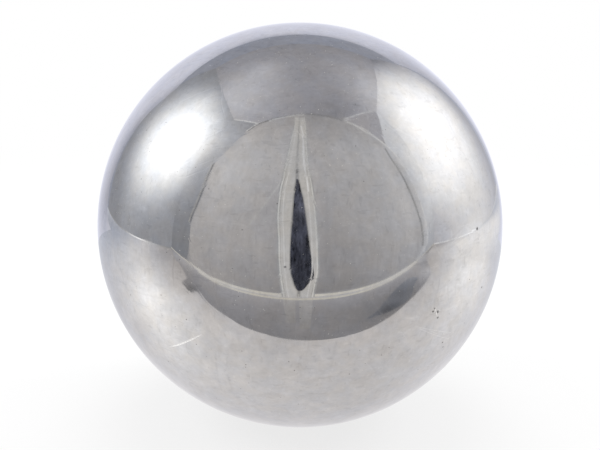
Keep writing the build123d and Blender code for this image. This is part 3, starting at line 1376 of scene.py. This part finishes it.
@dataclass
class SteelBall:
    """The ball: a true sphere, its marks cut into the surface, dressed in polished steel."""

    radius: float
    marks: MarkField
    cells: int = 64
    fine_steps: int = 4
    fine_reach: float = 0.30 * MM
    slope_step: float = 0.004 * MM
    near_pole: float = 0.9
    map_margin: float = 0.03

    def build(self, material: Material) -> Object:
        """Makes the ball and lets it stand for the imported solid.

        Args:
            material: The polished steel.

        Returns:
            The finished ball.
        """
        shape = self.even_sphere()
        self.refine(shape)
        bmesh.ops.triangulate(shape, faces=shape.faces[:])
        mesh = bpy.data.meshes.new("polished_ball")
        shape.to_mesh(mesh)
        shape.free()
        self.cut_marks(mesh)
        self.lay_map(mesh)
        mesh.materials.append(material)
        ball = link(bpy.data.objects.new("polished_ball", mesh))
        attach(ball, "root")
        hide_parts("steel_ball")
        return ball

    def even_sphere(self) -> bmesh.types.BMesh:
        """A sphere of nearly equal square cells, swelled from a cube."""
        shape = bmesh.new()
        bmesh.ops.create_cube(shape, size=2.0)
        bmesh.ops.subdivide_edges(shape, edges=shape.edges[:], cuts=self.cells - 1, use_grid_fill=True)
        for vert in shape.verts:
            x, y, z = (math.tan(c * math.pi / 4) for c in vert.co)
            vert.co = Vector((x, y, z)).normalized() * self.radius
        return shape

    def refine(self, shape: bmesh.types.BMesh) -> None:
        """Splits the cells around each mark, again and again, down to a few hundredths of a millimetre."""
        reach = self.fine_reach * 2 ** (self.fine_steps - 1)
        for _ in range(self.fine_steps):
            points = np.array([vert.co for vert in shape.verts])
            close = self.marks.nearest(points) < reach
            shape.verts.index_update()
            faces = [face for face in shape.faces if any(close[vert.index] for vert in face.verts)]
            edges = list({edge for face in faces for edge in face.edges})
            bmesh.ops.subdivide_edges(shape, edges=edges, cuts=1, use_grid_fill=True)
            for vert in shape.verts:
                vert.co = vert.co.normalized() * self.radius
            reach /= 2

    def cut_marks(self, mesh: Mesh) -> None:
        """Sinks the marks into the mesh and gives it exact normals.

        Args:
            mesh: The sphere's mesh, which changes in place.
        """
        count = len(mesh.vertices)
        points = np.zeros(count * 3)
        mesh.vertices.foreach_get("co", points)
        outward = unit_rows(points.reshape(-1, 3))
        depth, fresh_glint, grime = self.marks.effect(outward * self.radius)
        helper = np.where(np.abs(outward[:, 2:]) < self.near_pole, (0.0, 0.0, 1.0), (1.0, 0.0, 0.0))
        first = unit_rows(np.cross(outward, helper))
        step = self.slope_step
        slope = np.zeros_like(outward)
        for way in (first, np.cross(outward, first)):
            ahead = self.marks.effect(outward * self.radius + way * step)[0]
            behind = self.marks.effect(outward * self.radius - way * step)[0]
            slope += way * ((ahead - behind) / (2 * step))[:, None]
        mesh.vertices.foreach_set("co", (outward * (self.radius - depth)[:, None]).ravel())
        # The painted glint of fresh metal and the pits' grime are kept on the mesh for the finish.
        for name, values in ((MARK_FRESH_GLINT, fresh_glint), (MARK_GRIME, grime)):
            mesh.attributes.new(name, "FLOAT", "POINT").data.foreach_set("value", values.astype(np.float32))
        mesh.shade_smooth()
        mesh.update()
        mesh.normals_split_custom_set_from_vertices(unit_rows(outward + slope).tolist())

    def lay_map(self, mesh: Mesh) -> None:
        """Lays the six sides of the cube that the ball was swelled from side by side on one map.

        Args:
            mesh: The ball's mesh, which gains the map.
        """
        corners = np.zeros(len(mesh.loops), np.int32)
        mesh.loops.foreach_get("vertex_index", corners)
        points = np.zeros(len(mesh.vertices) * 3)
        mesh.vertices.foreach_get("co", points)
        points = points.reshape(-1, 3)[corners].reshape(-1, 3, 3)
        middle = points.mean(axis=1)
        axis = np.abs(middle).argmax(axis=1)
        facing = np.sign(middle[np.arange(len(axis)), axis])
        along = points[np.arange(len(axis)), :, axis]
        flat = np.zeros((len(axis), 3, 2))
        for side in range(3):
            rows = axis == side
            for k, other in enumerate([i for i in range(3) if i != side]):
                flat[rows, :, k] = np.arctan(points[rows][:, :, other] / np.abs(along[rows])) / (math.pi / 4)
        flip = np.where(axis == 1, -facing, facing)
        flat[:, :, 0] *= flip[:, None]
        inner = 0.5 + flat / 2 * (1 - self.map_margin)
        u = (axis[:, None] + inner[:, :, 0]) / 3
        v = ((facing < 0)[:, None] + inner[:, :, 1]) / 2
        spread = np.stack([u, v], axis=-1).astype(np.float32)
        mesh.uv_layers.new(name="OFBake").data.foreach_set("uv", spread.ravel())


# The long scratch at the lower left and its echo, the hairlines at the lower right, the crossed pair among
# the cluster of pits, and two short ticks.
SCRATCHES = (
    Scratch(((169.2, 346.6), (175.7, 345.3), (184.9, 342.1), (195.6, 337.4), (202.1, 334.2)), 0.24, 0.04),
    Scratch(((193.0, 328.4), (202.5, 330.2)), 0.09, 0.01, 0.4),
    Scratch(((400.4, 329.8), (404.2, 334.8), (407.3, 339.4)), 0.1, 0.015, 0),
    Scratch(((414.0, 326.0), (433.0, 330.0), (452.5, 332.5)), 0.09, 0.008, 0.35),
    Scratch(((428.8, 330.0), (437.5, 334.0)), 0.08, 0.006, 0.3),
    Scratch(((418.0, 328.0), (434.0, 334.5), (450.0, 339.0)), 0.09, 0.008, 0.35),
    Scratch(((434.6, 306.8), (436.6, 312.0), (438.2, 318.6)), 0.22, 0.03, 0.5),
    Scratch(((431.8, 313.0), (436.0, 311.8), (440.2, 311.2)), 0.24, 0.032, 0.2),
    Scratch(((477.4, 227.0), (477.2, 231.2)), 0.2, 0.035, 0),
    Scratch(((250.4, 375.6), (250.8, 381.4)), 0.12, 0.015, 0.2),
)
# The cluster at the lower right, the larger ones near the right rim, and the smallest over the front.
PITS = (
    Pit((433.0, 311.6), 0.3, 0.035, 1),
    Pit((437.8, 311.8), 0.34, 0.04, 1),
    Pit((434.6, 308.4), 0.26, 0.03, 0.9),
    Pit((437.7, 317.6), 0.3, 0.035, 1),
    Pit((442.5, 342.5), 0.26, 0.03, 0.9),
    Pit((443.0, 347.0), 0.22, 0.025, 0.8),
    Pit((477.2, 228.8), 0.4, 0.04, 1),
    Pit((481.8, 287.2), 0.28, 0.025, 1),
    Pit((469.5, 279.3), 0.14, 0.02, 0.5),
    Pit((351.0, 280.0), 0.16, 0.025, 1),
    Pit((186.4, 319.5), 0.16, 0.02, 0.8),
    Pit((206.5, 356.5), 0.14, 0.015, 0.6),
    Pit((242.3, 229.9), 0.15, 0.02, 0.6),
    Pit((232.4, 268.5), 0.14, 0.015, 0.7),
    Pit((285.0, 267.0), 0.14, 0.02, 0.7),
    Pit((418.0, 369.5), 0.16, 0.02, 0.6),
    Pit((381.5, 355.0), 0.16, 0.02, 0.6),
    Pit((389.0, 347.5), 0.14, 0.018, 0.5),
    Pit((245.9, 364.6), 0.15, 0.018, 0.8),
    Pit((245.6, 367.2), 0.13, 0.018, 0.7),
    Pit((241.9, 351.0), 0.14, 0.018, 0.5),
    Pit((294.4, 370.4), 0.17, 0.02, 0.8),
    Pit((288.8, 361.5), 0.15, 0.018, 0.6),
    Pit((240.6, 388.8), 0.14, 0.018, 0.6),
    Pit((280.6, 397.5), 0.14, 0.018, 0.6),
)


def main() -> None:
    """Builds the ball and its studio, in order."""
    logging.basicConfig(level=logging.INFO, format="%(message)s")
    low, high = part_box("steel_ball")
    radius = (high.x - low.x + high.y - low.y + high.z - low.z) / 6
    view = Portrait(ball_radius=radius)
    view.place_camera()
    effects = Effects.build()
    steel = PolishedSteel().build(effects)
    ball = SteelBall(radius, MarkField(view, SCRATCHES, PITS)).build(steel)
    log.info("%s: %d faces", ball.name, len(ball.data.polygons))
    studio = Studio()
    studio.raise_tent(effects)
    floor = studio.lay_floor(effects, low.z)
    log.info("%s laid at %.4f m", floor.name, low.z)
    studio.hang_lamps()
    studio.surround()
    bpy.context.scene.view_settings.view_transform = "Standard"


if __name__ == "__main__":
    main()
